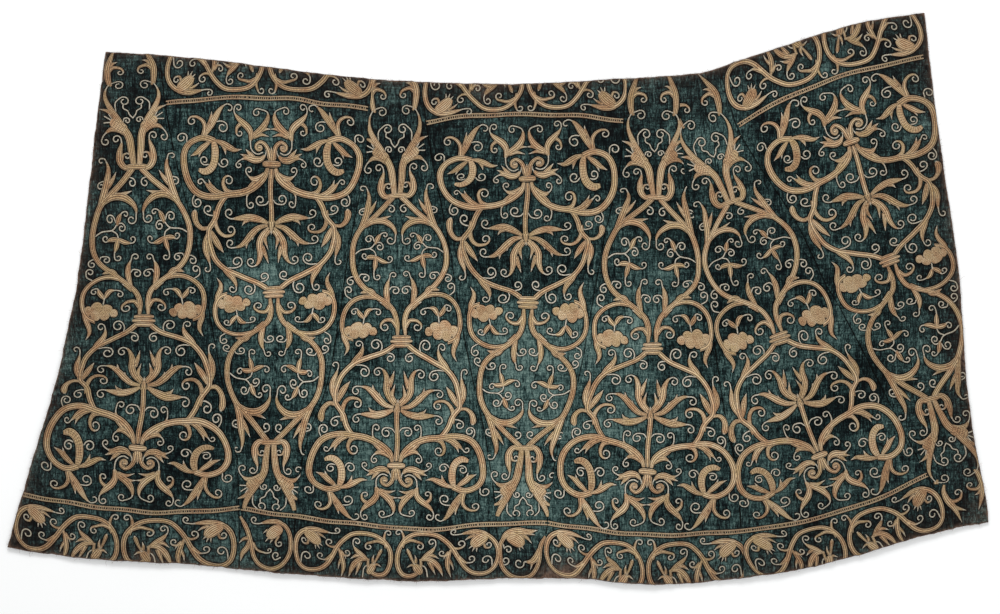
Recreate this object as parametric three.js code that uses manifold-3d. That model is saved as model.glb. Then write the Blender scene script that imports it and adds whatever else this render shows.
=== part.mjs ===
// A flat panel of green silk velvet, pieced from seven tapering gores and worked all over
// with couched gold scrolls, leaves and borders between narrow guard bands.
// Millimetres. The panel lies on the plane z = 0, seen from above, with +X along its length.

import * as THREE from "three";
import { mergeVertices } from "three/addons/utils/BufferGeometryUtils.js";
import Module from "manifold-3d";

const wasm = await Module();
wasm.setup();

// Sheet and thread heights

const VELVET = 2.2;
const AIR = 0.3;
const THREAD = 1.2;
const SEAM_GAP = 0.3;
const GUARD_WIDTH = 9;
const SEAM_MARGIN = 0.6;
const EDGE_MARGIN = 1.0;
const LEAST_SPRAY = 350;
const FLAT = 0.3;

// How finely the curves are cut: pieces to each edge and seam, and millimetres a piece

const LONG_EDGE_CUTS = 36;
const SHORT_EDGE_CUTS = 20;
const SEAM_CUTS = 16;
const STEM_PACE = 44;
const LEAF_PACE = 60;
const GUARD_PACE = 70;

// Cutting blocks reach from under the sheet to well over the gold, and seams run past the edges

const UNDER = -1;
const TALL = 10;
const OVERRUN = 60;

// Colours and finishes

const GREEN = { color: 0x2c3330, roughness: 0.92, metalness: 0 };
const GOLD = { color: 0xa58a68, roughness: 0.6, metalness: 0.1 };
const PALE = { color: 0xa09681, roughness: 0.65, metalness: 0.05 };

// The raw edges of the whole panel, as points: x, y

const TOP_EDGE = [
  [-784, 493], [-656, 485], [-536, 473], [-416, 457], [-296, 443], [-176, 434], [-16, 429], [104, 431],
  [224, 438], [344, 445], [404, 451], [440, 461], [504, 483], [584, 509], [664, 535], [744, 555], [852, 571],
];
const RIGHT_EDGE = [
  [852, 571], [872, 397], [894, 237], [918, 77], [928, -43], [936, -163], [952, -283], [976, -403], [980, -447],
];
const BOTTOM_EDGE = [
  [-980, -497], [-896, -511], [-776, -523], [-616, -531], [-496, -543], [-376, -553], [-256, -561], [-136, -565],
  [-16, -560], [104, -559], [184, -561], [284, -571], [384, -569], [464, -561], [584, -545], [704, -517],
  [824, -481], [904, -461], [980, -447],
];
const LEFT_EDGE = [
  [-784, 493], [-802, 357], [-820, 197], [-840, 37], [-856, -43], [-882, -163], [-918, -283], [-954, -403], [-980, -497],
];

// The seams between the gores, from the top edge to the bottom edge: x, y

const SEAMS = [
  [[-680, 500], [-666, 389], [-642, 267], [-608, 133], [-576, -33], [-548, -183], [-524, -293], [-518, -413], [-516, -560]],
  [[-242, 450], [-266, 267], [-296, 107], [-318, -43], [-342, -173], [-382, -283], [-404, -403], [-412, -570]],
  [[-153, 445], [-147, 373], [-130, 267], [-102, 127], [-74, -43], [-46, -183], [-20, -303], [-2, -453], [-2, -575]],
  [[258, 450], [246, 277], [212, 117], [183, -43], [158, -173], [118, -303], [98, -443], [92, -575]],
  [[366, 460], [368, 277], [384, 187], [406, 87], [426, -43], [452, -223], [474, -333], [486, -465], [488, -580]],
  [[438, 475], [460, 397], [478, 341], [514, 277], [596, 151], [656, 27], [688, -27], [808, -257], [854, -348],
    [882, -392], [896, -425], [905, -480]],
];

// The ladder-like guard bands, along their middles: x, y

const TOP_GUARDS = [
  [[-664, 390], [-616, 395], [-556, 401], [-450, 401], [-400, 398], [-350, 390], [-306, 385], [-262, 380]],
  [[-142, 352], [-75, 363], [4, 368], [30, 368], [150, 366], [250, 355]],
  [[482, 346], [551, 388], [658, 435], [765, 465], [850, 482]],
];
const BOTTOM_GUARDS = [
  [[-950, -392], [-864, -407], [-797, -417], [-698, -427], [-615, -426], [-518, -419]],
  [[-514, -420], [-416, -434], [-317, -447], [-234, -455], [-151, -462], [-52, -454], [4, -450], [94, -449]],
  [[99, -449], [196, -462], [262, -470], [328, -473], [428, -469], [484, -464], [564, -455], [663, -432], [729, -411],
    [796, -383], [858, -353]],
];

// Where each tall motif's middle line runs: x, y at the eight heights in STATIONS

const STATIONS = [0, 128, 242, 374, 546, 668, 766, 900];
const COLUMNS = {
  left_wide: [[-724, -425], [-720, -296], [-707, -174], [-708, -43], [-713, 125], [-721, 262], [-729, 363], [-736, 481]],
  first_turned: [[-454, 401], [-453, 267], [-453, 145], [-447, 10], [-446, -149], [-453, -286], [-456, -383], [-460, -509]],
  second_wide: [[-202, -455], [-203, -333], [-201, -218], [-194, -83], [-198, 87], [-201, 204], [-205, 303], [-210, 439]],
  second_turned: [[54, 365], [59, 237], [55, 123], [59, -10], [56, -179], [52, -299], [50, -397], [48, -519]],
  third_wide: [[298, -474], [298, -344], [304, -232], [309, -99], [308, 73], [316, 201], [312, 295], [310, 431]],
  fourth_wide: [[680, -429], [641, -313], [602, -207], [562, -79], [504, 87], [465, 193], [432, 284], [384, 417]],
  last_turned: [[668, 437], [707, 311], [741, 201], [784, 75], [834, -73], [865, -200], [897, -291], [930, -407]],
};

// One row a gore: name, column, height where its stems stop, then the fit of its tall motif and of its border
// scroll. A fit is: shift across, spread at left and right, rise of the guard line at left and right.

const GORES = [
  ["gore_1", "left_wide", 960, [0, 1.04, 1.04, 30, 6], [-29, 1.06, 1.16, 38, 5]],
  ["gore_2", "first_turned", 800, [0, 1.01, 1.01, 21, 11], [9, 1.08, 1.0, 31, 15]],
  ["gore_3", "second_wide", 960, [0, 1.0, 1.0, 20, 5], [-7, 1.0, 1.06, 26, 10]],
  ["gore_4", "second_turned", 800, [0, 1.0, 1.0, 13, 16], [-2, 1.02, 1.02, 17, 15]],
  ["gore_5", "third_wide", 960, [0, 1.0, 1.0, 25, 10], [-4, 1.0, 1.03, 44, 17]],
  ["gore_6", "fourth_wide", 960, [0, 0.98, 0.98, 27, 17], [-3, 1.0, 1.04, 42, 20]],
  ["gore_7", "last_turned", 960, [0, 1.0, 1.0, 17, 28], [0, 1.0, 1.05, 21, 35]],
];

// The right half of the tall motif: form, width, then points across from the middle line and up from the guard band

const MOTIF = [
  ["stem", 9, [[3, 118], [9, 94], [26, 87], [30, 103]]],
  ["stem", 5, [[22, 106], [38, 101], [41, 76]]],
  ["leaf", 13, [[11, 102], [20, 117], [38, 118], [63, 119]]],
  ["leaf", 12.5, [[42, 82], [20, 62], [7, 38], [13, 23]]],
  ["leaf", 12.5, [[41, 84], [46, 54], [72, 25]]],
  ["stem", 12, [[6, 128], [20, 158], [56, 180], [110, 188], [150, 176], [171, 140], [172, 100], [148, 75], [114, 80]]],
  ["pod", 14, [[114, 80], [113, 120], [144, 137]]],
  ["leaf", 12, [[116, 78], [84, 92], [60, 97]]],
  ["leaf", 12, [[118, 80], [134, 92], [159, 108]]],
  ["leaf", 13, [[134, 74], [110, 33], [91, 14]]],
  ["leaf", 13, [[4, 246], [23, 276], [24, 296], [36, 320]]],
  ["leaf", 13, [[4, 244], [38, 256], [78, 280]]],
  ["leaf", 12, [[4, 240], [44, 225], [80, 228]]],
  ["stem", 10, [[86, 184], [103, 208], [125, 254], [112, 300], [92, 322], [32, 350], [12, 365]]],
  ["pod", 11, [[118, 241], [136, 239], [147, 222]]],
  ["leaf", 12, [[110, 299], [82, 338], [75, 362]]],
  ["stem", 10.5, [[7, 382], [10, 420], [46, 462], [90, 512], [94, 550], [76, 600], [28, 646], [5, 668]]],
  ["stem", 9, [[38, 457], [82, 462], [112, 436], [116, 394], [90, 379]]],
  ["pod", 28, [[51, 392], [80, 393], [109, 392]]],
  ["leaf", 11, [[80, 600], [32, 618], [8, 582]]],
  ["leaf", 11, [[80, 592], [60, 650], [62, 693]]],
  ["leaf", 12, [[4, 668], [34, 684], [28, 724]]],
  ["stem", 12, [[6, 668], [14, 729], [42, 784], [50, 812], [43, 839]]],
  ["pod", 18, [[14, 736], [34, 754], [47, 764]]],
  ["leaf", 13, [[42, 834], [45, 872], [26, 924]]],
];

// What the middle line of the tall motif carries: form, width, points

const MIDDLE = [
  ["stem", 12, [[-20, 126], [20, 126]]],
  ["stem", 14, [[0, 132], [0, 104]]],
  ["stem", 9, [[0, 128], [0, 248]]],
  ["stem", 24, [[-16, 373], [16, 373]]],
  ["stem", 10, [[-13, 669], [13, 669]]],
];

// The right half of the border scroll, hanging below the guard band: form, width, points

const SCROLL = [
  ["stem", 9, [[50, -72], [44, -98], [18, -101], [6, -68], [22, -30], [64, -17], [100, -36], [136, -92], [174, -107],
    [196, -68], [178, -28], [160, -22]]],
  ["leaf", 11, [[180, -30], [153, -20], [120, -24]]],
  ["pod", 25, [[176, -28], [161, -36], [147, -49]]],
  ["leaf", 10, [[110, -50], [102, -76], [105, -112]]],
  ["leaf", 10, [[112, -54], [124, -74], [146, -82]]],
  ["pod", 15, [[47, -98], [36, -76], [25, -47]]],
  ["leaf", 12, [[50, -72], [68, -58], [80, -42]]],
  ["leaf", 12, [[48, -71], [76, -79], [91, -108]]],
];

// Single sprays below the two narrow ends: form, width, points x, y

const SPRAYS = {
  spray_1: [
    ["stem", 8, [[-514, -440], [-493, -488], [-475, -533], [-431, -532], [-415, -490], [-428, -453], [-452, -445]]],
    ["leaf", 10, [[-430, -452], [-456, -445], [-480, -450]]],
    ["pod", 25, [[-432, -459], [-447, -466], [-461, -477]]],
    ["leaf", 10, [[-495, -478], [-502, -500], [-513, -523]]],
  ],
  spray_2: [
    ["stem", 8, [[92, -476], [83, -520], [64, -553], [24, -553], [4, -518], [14, -476]]],
    ["leaf", 16, [[8, -484], [32, -467], [76, -467]]],
    ["pod", 26, [[18, -476], [35, -483], [50, -494]]],
    ["leaf", 12, [[83, -498], [72, -522], [50, -528]]],
  ],
};

// Which gore each spray lies on, counted from the left

const SPRAY_GORES = { spray_1: 1, spray_2: 3 };

// Curves and outlines

function spline(points, segments) {
  const curve = new THREE.SplineCurve(points.map(([x, y]) => new THREE.Vector2(x, y)));
  return curve.getSpacedPoints(segments);
}

function lengthOf(points) {
  return new THREE.SplineCurve(points.map(([x, y]) => new THREE.Vector2(x, y))).getLength();
}

function widthAt(form, width, t) {
  if (form === "leaf") return t < 0.4 ? width * (0.6 + 1.0 * t) : width * Math.cos(((t - 0.4) * Math.PI) / 1.2);
  if (form === "pod") return width * Math.sqrt(Math.max(0.12, 1 - ((t - 0.5) / 0.52) ** 2));
  return width;
}

function ribbon(form, width, points) {
  const pace = form === "stem" ? STEM_PACE : LEAF_PACE;
  const segments = points.length === 2 ? 1 : Math.max(2, Math.round(lengthOf(points) / pace));
  const middle = spline(points, segments);
  const left = [];
  const right = [];
  middle.forEach((point, i) => {
    const before = middle[Math.max(i - 1, 0)];
    const after = middle[Math.min(i + 1, segments)];
    const along = after.clone().sub(before).normalize();
    const half = widthAt(form, width, i / segments) / 2;
    const across = new THREE.Vector2(-along.y, along.x).multiplyScalar(half);
    if (half < 0.6) {
      left.push(point.clone());
      return;
    }
    left.push(point.clone().add(across));
    right.push(point.clone().sub(across));
  });
  return left.concat(right.reverse());
}

// Place a point of the pattern on a gore: u across, v up from the guard band

function settle(column, [shift, left, right, riseLeft, riseRight], u, v) {
  const places = COLUMNS[column];
  const last = STATIONS.length - 1;
  const across = shift + u * (u < 0 ? left : right);
  const fade = v > 0 ? Math.exp(-((v / 120) ** 2)) : 1;
  const height = v + (u < 0 ? riseLeft : riseRight) * (u / 200) ** 2 * fade;
  const axisAt = (h) => {
    let i = STATIONS.findIndex((s) => s > h) - 1;
    if (h < 0) i = 0;
    if (h >= STATIONS[last]) i = last - 1;
    const span = STATIONS[i + 1] - STATIONS[i];
    const t = (h - STATIONS[i]) / span;
    const a = new THREE.Vector2(...places[i]);
    const b = new THREE.Vector2(...places[i + 1]);
    if (t < 0 || t > 1) return a.clone().lerp(b, t);
    const slope = (j) => {
      const p = Math.max(j - 1, 0);
      const q = Math.min(j + 1, last);
      return new THREE.Vector2(...places[q]).sub(new THREE.Vector2(...places[p])).divideScalar(STATIONS[q] - STATIONS[p]);
    };
    const blend = [2 * t ** 3 - 3 * t ** 2 + 1, t ** 3 - 2 * t ** 2 + t, -2 * t ** 3 + 3 * t ** 2, t ** 3 - t ** 2];
    return a.multiplyScalar(blend[0])
      .addScaledVector(slope(i), blend[1] * span)
      .addScaledVector(b, blend[2])
      .addScaledVector(slope(i + 1), blend[3] * span);
  };
  const axis = axisAt(height);
  const along = axisAt(height + 1).sub(axis).normalize();
  return new THREE.Vector2(axis.x + along.y * across, axis.y - along.x * across);
}

// Closed solids

function slab(outline, bottom, thickness) {
  const shape = new THREE.Shape(outline);
  const geometry = new THREE.ExtrudeGeometry(shape, { depth: thickness, bevelEnabled: false, steps: 1 });
  geometry.translate(0, 0, bottom);
  geometry.deleteAttribute("normal");
  geometry.deleteAttribute("uv");
  const merged = mergeVertices(geometry, 1e-4);
  return new wasm.Manifold(new wasm.Mesh({
    numProp: 3,
    vertProperties: new Float32Array(merged.attributes.position.array),
    triVerts: new Uint32Array(merged.index.array),
  }));
}

function toMesh(solid, name, look) {
  const { vertProperties, triVerts } = solid.getMesh();
  const geometry = new THREE.BufferGeometry();
  geometry.setAttribute("position", new THREE.BufferAttribute(new Float32Array(vertProperties), 3));
  geometry.setIndex(new THREE.BufferAttribute(new Uint32Array(triVerts), 1));
  geometry.computeVertexNormals();
  const mesh = new THREE.Mesh(geometry, new THREE.MeshStandardMaterial(look));
  mesh.name = name;
  return mesh;
}

// Move each point of an outline inwards

function inset(outline, distance) {
  const area = THREE.ShapeUtils.area(outline);
  const n = outline.length;
  return outline.map((point, i) => {
    const before = outline[(i + n - 1) % n];
    const after = outline[(i + 1) % n];
    const first = point.clone().sub(before).normalize();
    const second = after.clone().sub(point).normalize();
    const inward = new THREE.Vector2(-first.y - second.y, first.x + second.x).multiplyScalar(Math.sign(area));
    const mitre = Math.max(inward.length() / 2, 0.4);
    return point.clone().addScaledVector(inward.normalize(), distance / mitre);
  });
}

const group = new THREE.Group();

// The whole outline, run round once from the top left corner

const edge = [
  ...spline(TOP_EDGE, LONG_EDGE_CUTS),
  ...spline(RIGHT_EDGE, SHORT_EDGE_CUTS).slice(1),
  ...spline(BOTTOM_EDGE, LONG_EDGE_CUTS).reverse().slice(1),
  ...spline(LEFT_EDGE, SHORT_EDGE_CUTS).reverse().slice(1, -1),
];
const sheet = slab(edge, 0, VELVET);
const kept = slab(inset(edge, EDGE_MARGIN), UNDER, TALL);

// A strip between two seams, wider than the sheet at its ends

const FAR = 1200;
const seamLines = SEAMS.map((seam) => {
  const line = spline(seam, SEAM_CUTS);
  line[0].y += OVERRUN;
  line[line.length - 1].y -= OVERRUN;
  return line;
});
const leftEnd = [new THREE.Vector2(-FAR, 700), new THREE.Vector2(-FAR, -700)];
const rightEnd = [new THREE.Vector2(FAR, 700), new THREE.Vector2(FAR, -700)];
const bounds = [leftEnd, ...seamLines, rightEnd];

function strip(i, gap, bottom, thickness) {
  const outline = [...bounds[i], ...bounds[i + 1].slice().reverse()];
  return slab(inset(outline, gap), bottom, thickness);
}

// The gores of velvet

GORES.forEach(([name], i) => {
  const gore = sheet.intersect(strip(i, SEAM_GAP / 2, UNDER, TALL));
  group.add(toMesh(gore, `${name}_velvet`, GREEN));
});

// The guard bands

const deck = VELVET + AIR;

function bandOutline(line, width) {
  const segments = Math.max(4, Math.round(lengthOf(line) / GUARD_PACE));
  const middle = spline(line, segments);
  const upper = [];
  const lower = [];
  middle.forEach((point, i) => {
    const along = middle[Math.min(i + 1, segments)].clone().sub(middle[Math.max(i - 1, 0)]).normalize();
    const across = new THREE.Vector2(-along.y, along.x).multiplyScalar(width / 2);
    const onward = along.multiplyScalar(i === 0 ? -1 : i === segments ? 1 : 0).multiplyScalar((width - GUARD_WIDTH) / 2);
    upper.push(point.clone().add(across).add(onward));
    lower.push(point.clone().sub(across).add(onward));
  });
  return upper.concat(lower.reverse());
}

function guard(name, line) {
  const band = slab(bandOutline(line, GUARD_WIDTH), deck, THREAD).intersect(kept);
  group.add(toMesh(band, name, PALE));
}

TOP_GUARDS.forEach((line, i) => guard(`guard_top_${i + 1}`, line));
BOTTOM_GUARDS.forEach((line, i) => guard(`guard_bottom_${i + 1}`, line));

// The gold keeps clear of the guard bands

const lanes = wasm.Manifold.union(
  [...TOP_GUARDS, ...BOTTOM_GUARDS].map((line) => slab(bandOutline(line, GUARD_WIDTH + 2 * SEAM_MARGIN), UNDER, TALL)),
);

// Join strokes into solids; each separate patch of gold becomes a piece

function strokes(rows, sides, place) {
  const solids = [];
  for (const [form, width, points] of rows) {
    for (const side of sides) {
      const outline = ribbon(form, width, points).map(({ x, y }) => place(x * side, y));
      solids.push(slab(outline, deck, THREAD));
    }
  }
  return solids;
}

function patches(name, solid) {
  const parts = solid.subtract(lanes).asOriginal().simplify(FLAT).decompose()
    .filter((part) => part.volume() > LEAST_SPRAY * THREAD)
    .sort((a, b) => b.volume() - a.volume());
  parts.forEach((part, i) => {
    const label = parts.length === 1 ? name : `${name}_${i + 1}`;
    group.add(toMesh(part, label, GOLD));
  });
}

const alone = (x, y) => new THREE.Vector2(x, y);

GORES.forEach(([name, column, stop, motifFit, scrollFit], i) => {
  const place = (u, v) => settle(column, motifFit, u, v);
  const hang = (u, v) => settle(column, scrollFit, u, v);
  const within = kept.intersect(strip(i, SEAM_MARGIN, UNDER, TALL));
  const pieces = [
    ...strokes(MOTIF, [1, -1], place),
    ...strokes(MIDDLE, [1], place),
  ];
  const ceiling = [[-260, 4], [260, 4], [260, stop], [-260, stop]].map(([u, v]) => place(u, v));
  const worked = wasm.Manifold.union(pieces).intersect(slab(ceiling, UNDER, TALL)).intersect(within);
  patches(`${name}_gold`, worked);
  const scroll = wasm.Manifold.union(strokes(SCROLL, [1, -1], hang)).intersect(kept);
  patches(`${name}_border`, scroll.intersect(strip(i, SEAM_MARGIN, UNDER, TALL)));
});

for (const [name, rows] of Object.entries(SPRAYS)) {
  const solid = wasm.Manifold.union(strokes(rows, [1], alone)).intersect(kept);
  patches(name, solid.intersect(strip(SPRAY_GORES[name], SEAM_MARGIN, UNDER, TALL)));
}

export default group;
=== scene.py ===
import math

import bmesh
import bpy
import numpy as np
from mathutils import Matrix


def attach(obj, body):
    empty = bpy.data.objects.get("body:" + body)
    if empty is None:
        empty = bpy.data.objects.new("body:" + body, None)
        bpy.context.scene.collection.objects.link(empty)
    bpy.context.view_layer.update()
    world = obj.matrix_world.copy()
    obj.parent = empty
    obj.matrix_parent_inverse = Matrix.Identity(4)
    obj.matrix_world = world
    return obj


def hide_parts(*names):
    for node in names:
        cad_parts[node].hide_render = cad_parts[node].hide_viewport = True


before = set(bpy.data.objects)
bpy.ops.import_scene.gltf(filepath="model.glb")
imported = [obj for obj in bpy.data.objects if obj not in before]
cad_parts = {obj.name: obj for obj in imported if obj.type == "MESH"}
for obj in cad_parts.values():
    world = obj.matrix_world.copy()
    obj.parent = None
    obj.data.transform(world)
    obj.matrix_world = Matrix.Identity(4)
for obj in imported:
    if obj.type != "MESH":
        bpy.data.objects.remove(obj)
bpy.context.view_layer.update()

# Cut of the panel. The real piece is seven tapering gores of silk velvet, cut from one loom
# width with wide and narrow ends turned about, and seamed edge to edge. All four sides are
# raw, as the scissors left them. Sizes here are in millimetres, x along the panel, y up it.

MM = 0.001
EDGE_STEP = 5
TOP_EDGE = [
    (-784, 493), (-656, 485), (-536, 473), (-416, 457), (-296, 443), (-176, 434), (-16, 429), (104, 431),
    (224, 438), (344, 445), (404, 451), (440, 461), (504, 483), (584, 509), (664, 535), (744, 555),
    (852, 571),
]
RIGHT_EDGE = [
    (852, 571), (872, 397), (894, 237), (918, 77), (928, -43), (936, -163), (952, -283), (976, -403),
    (980, -447),
]
BOTTOM_EDGE = [
    (-980, -497), (-896, -511), (-776, -523), (-616, -531), (-496, -543), (-376, -553), (-256, -561),
    (-136, -565), (-16, -560), (104, -559), (184, -561), (284, -571), (384, -569), (464, -561),
    (584, -545), (704, -517), (824, -481), (904, -461), (980, -447),
]
LEFT_EDGE = [
    (-784, 493), (-802, 357), (-820, 197), (-840, 37), (-856, -43), (-882, -163), (-918, -283),
    (-954, -403), (-980, -497),
]
SEAMS = [
    [(-680, 520), (-666, 389), (-642, 267), (-608, 133), (-576, -33), (-548, -183), (-524, -293),
     (-518, -413), (-516, -600)],
    [(-242, 500), (-266, 267), (-296, 107), (-318, -43), (-342, -173), (-382, -283), (-404, -403),
     (-412, -600)],
    [(-158, 500), (-147, 373), (-130, 267), (-102, 127), (-74, -43), (-46, -183), (-20, -303),
     (-2, -453), (-2, -600)],
    [(258, 500), (246, 277), (212, 117), (183, -43), (158, -173), (118, -303), (98, -443), (92, -600)],
    [(366, 500), (368, 277), (384, 187), (406, 87), (426, -43), (452, -223), (474, -333), (486, -465),
     (488, -600)],
    [(424, 520), (460, 397), (478, 341), (514, 277), (596, 151), (656, 27), (688, -27), (808, -257),
     (854, -348), (882, -392), (896, -425), (912, -520)],
]


def smooth(points, step):
    """A flowing line through a few points, as a list of places about one step apart."""
    p = np.asarray(points, float)
    if len(p) == 1:
        return np.vstack([p, p])
    ends = np.vstack([2 * p[0] - p[1], p, 2 * p[-1] - p[-2]])
    t = np.linspace(0, 1, 12, endpoint=False)[:, None]
    runs = []
    for a, b, c, d in zip(ends, ends[1:], ends[2:], ends[3:]):
        bend = (2 * a - 5 * b + 4 * c - d) * t ** 2 + (3 * b - a - 3 * c + d) * t ** 3
        runs.append(0.5 * (2 * b + (c - a) * t + bend))
    line = np.vstack(runs + [p[-1:]])
    s = lengths(line)
    count = max(2, int(s[-1] / step) + 1)
    even = np.linspace(0, s[-1], count)
    return np.stack([np.interp(even, s, line[:, 0]), np.interp(even, s, line[:, 1])], axis=1)


def lengths(line):
    """How far along the line each of its points lies."""
    return np.r_[0, np.cumsum(np.linalg.norm(np.diff(line, axis=0), axis=1))]


def headings(line):
    """The directions ahead and to the left at each point of a line."""
    ahead = np.gradient(line, axis=0)
    ahead /= np.maximum(np.linalg.norm(ahead, axis=1), 1e-9)[:, None]
    return ahead, np.stack([-ahead[:, 1], ahead[:, 0]], axis=1)


def wavering(line, size, seed):
    """The same line with the slight unevenness of a hand-cut edge; its two ends stay."""
    s = lengths(line)
    rng = np.random.default_rng(seed)
    off = sum(
        rng.uniform(0.4, 1) * np.sin(2 * math.pi * s / wave + rng.uniform(0, 6.28))
        for wave in (13, 19, 31, 47, 83, 131)
    )
    fade = np.clip(np.minimum(s, s[-1] - s) / 20, 0, 1)
    return line + headings(line)[1] * (off * size * fade)[:, None]


top_edge = wavering(smooth(TOP_EDGE, EDGE_STEP), size=0.35, seed=1)
right_edge = wavering(smooth(RIGHT_EDGE, EDGE_STEP), size=0.3, seed=2)
bottom_edge = wavering(smooth(BOTTOM_EDGE, EDGE_STEP), size=0.55, seed=3)
left_edge = wavering(smooth(LEFT_EDGE, EDGE_STEP), size=0.35, seed=4)
raw_edge = np.vstack([top_edge, right_edge[1:], bottom_edge[-2::-1], left_edge[-2:0:-1]])
seams = [smooth(points, EDGE_STEP) for points in SEAMS]


# Lie of the cloth. Limp velvet on a table never lies dead flat: it keeps a shallow swell, and
# its raw edges lift a little. The field below holds how deep inside the raw edge each place
# lies, so that the cloth, the gold and the loose threads all follow the same swell.

CELL = 4.0
BATCH = 4000
FIELD_X = np.arange(-1004, 1005, CELL)
FIELD_Y = np.arange(-604, 605, CELL)


def depth_inside(points, ring):
    """How far inside the ring each point lies, below nought outside it."""
    a = ring
    b = np.roll(ring, -1, axis=0)
    ab = b - a
    out = np.empty(len(points))
    for start in range(0, len(points), BATCH):
        p = points[start:start + BATCH, None, :]
        t = np.clip(((p - a) * ab).sum(-1) / (ab ** 2).sum(-1), 0, 1)
        gap = np.linalg.norm(a + t[..., None] * ab - p, axis=-1).min(axis=1)
        y = p[..., 1]
        spans = (a[:, 1] > y) != (b[:, 1] > y)
        cross = a[:, 0] + (y - a[:, 1]) * ab[:, 0] / np.where(ab[:, 1] == 0, 1e-9, ab[:, 1])
        inside = (spans & (p[..., 0] < cross)).sum(axis=1) % 2 == 1
        out[start:start + BATCH] = np.where(inside, gap, -gap)
    return out


field_places = np.stack(np.meshgrid(FIELD_X, FIELD_Y), axis=-1)
depth_field = depth_inside(field_places.reshape(-1, 2), raw_edge).reshape(len(FIELD_Y), len(FIELD_X))
inward_field = np.stack(np.gradient(depth_field, CELL)[::-1], axis=-1)


def sample(field, points):
    """The field's value at each point, between its four nearest places."""
    gx = np.clip((points[:, 0] - FIELD_X[0]) / CELL, 0, len(FIELD_X) - 1.001)
    gy = np.clip((points[:, 1] - FIELD_Y[0]) / CELL, 0, len(FIELD_Y) - 1.001)
    i, j = gx.astype(int), gy.astype(int)
    fx, fy = gx - i, gy - j
    if field.ndim == 3:
        fx, fy = fx[:, None], fy[:, None]
    low = field[j, i] * (1 - fx) + field[j, i + 1] * fx
    high = field[j + 1, i] * (1 - fx) + field[j + 1, i + 1] * fx
    return low * (1 - fy) + high * fy


SWELLS = [
    # height, wave along x, wave along y, start
    (0.45, 310, 900, 0.4),
    (0.35, 190, -420, 2.1),
    (0.30, -260, 170, 4.0),
    (0.20, 95, 260, 1.2),
    (0.16, -120, 80, 5.1),
]
MEAN_RISE = 1.1
EDGE_LIFT = 5.5
EDGE_REACH = 22


def lie(points):
    """Height of the cloth's swell at each point, never below nought."""
    x, y = points[:, 0], points[:, 1]
    rise = np.full(len(points), MEAN_RISE)
    for height, wx, wy, start in SWELLS:
        rise += height * np.sin(2 * math.pi * (x / wx + y / wy) + start)
    deep = np.maximum(sample(depth_field, points), 0)
    curl = 0.62 + 0.38 * np.sin(x / 61 + 1.3) * np.sin(y / 83 + 0.4)
    low_side = np.clip((300 - y) / 700, 0.4, 1)
    return np.maximum(rise, 0) + EDGE_LIFT * curl * low_side * np.exp(-deep / EDGE_REACH)


# Velvet gores. Silk pile woven on a fine ground, about two millimetres thick, dyed a bluish
# green that has worn nearly black, and crushed into light streaks by folding and by the
# frame. Each gore is its own cloth, and the seams pull it down along both sides.

PILE_TOP = 2.0
CLOTH = 1.7
SEAM_DIP = 0.9
SEAM_REACH = 3.0
SEAM_FLOOR = 0.1
SEAM_SHADE = 0.6
RAW_REACH = 1.7
GORE_WIDE = 430.0
GORE_LONG = 1000.0
EDGE_ROWS = np.array([1.2, 3.5])
ACROSS = 52
DOWN = 118
EDGE_WEAR = [
    # strength, reach
    (0.35, 6),
    (0.08, 60),
]
WORN_PLACES = [
    # x, y, reach, strength
    (137, -556, 26, 1.0),
    (96, -552, 14, 0.8),
    (-962, -470, 20, 0.15),
    (966, -420, 26, 0.2),
    (930, -120, 16, 0.4),
    (-30, 424, 22, 0.4),
    (-700, -524, 22, 0.5),
]
# Painted light: soft round patches where the pile's colour is lightened, for the more brightly lit parts
# of the panel.
PAINTED_LIGHT_PLACES = [
    # x, y, reach, lift of the painted light
    (-150, -250, 230, 1.0),
    (120, -330, 200, 0.8),
    (150, -60, 160, 0.5),
    (-330, -60, 140, 0.45),
    (420, -200, 120, 0.4),
    (-480, 20, 80, 0.5),
    (560, 420, 110, 0.3),
]


def shade(value):
    """A colour written as sRGB hex, as linear values."""
    parts = [int(value[i:i + 2], 16) / 255 for i in (1, 3, 5)]
    return [c / 12.92 if c <= 0.04045 else ((c + 0.055) / 1.055) ** 2.4 for c in parts] + [1.0]


def add(tree, kind, settings, inputs, out=0):
    """Add a node with its settings; each input is a number, a hex colour or another node's output."""
    node = tree.nodes.new("ShaderNode" + kind)
    for key, value in settings.items():
        if key != "stops":
            setattr(node, key, value)
            continue
        marks = node.color_ramp.elements
        while len(marks) < len(value):
            marks.new(0.5)
        for mark, (place, colour) in zip(marks, value):
            mark.position = place
            mark.color = shade(colour)
    for key, value in inputs.items():
        if isinstance(value, bpy.types.NodeSocket):
            tree.links.new(value, node.inputs[key])
        else:
            node.inputs[key].default_value = shade(value) if isinstance(value, str) else value
    return node.outputs[out] if node.outputs else node


def new_material(name):
    """An empty material and its node tree."""
    material = bpy.data.materials.new(name)
    material.use_nodes = True
    material.node_tree.nodes.clear()
    return material, material.node_tree


TIMES = {"operation": "MULTIPLY"}
TIMES_PLUS = {"operation": "MULTIPLY_ADD"}
KEPT_IN = {"operation": "MULTIPLY_ADD", "use_clamp": True}
COSINE = {"operation": "COSINE"}
BELOW = {"operation": "LESS_THAN"}
OVER = {"data_type": "RGBA", "blend_type": "MIX"}
STAIN = {"data_type": "RGBA", "blend_type": "MULTIPLY"}


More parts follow.
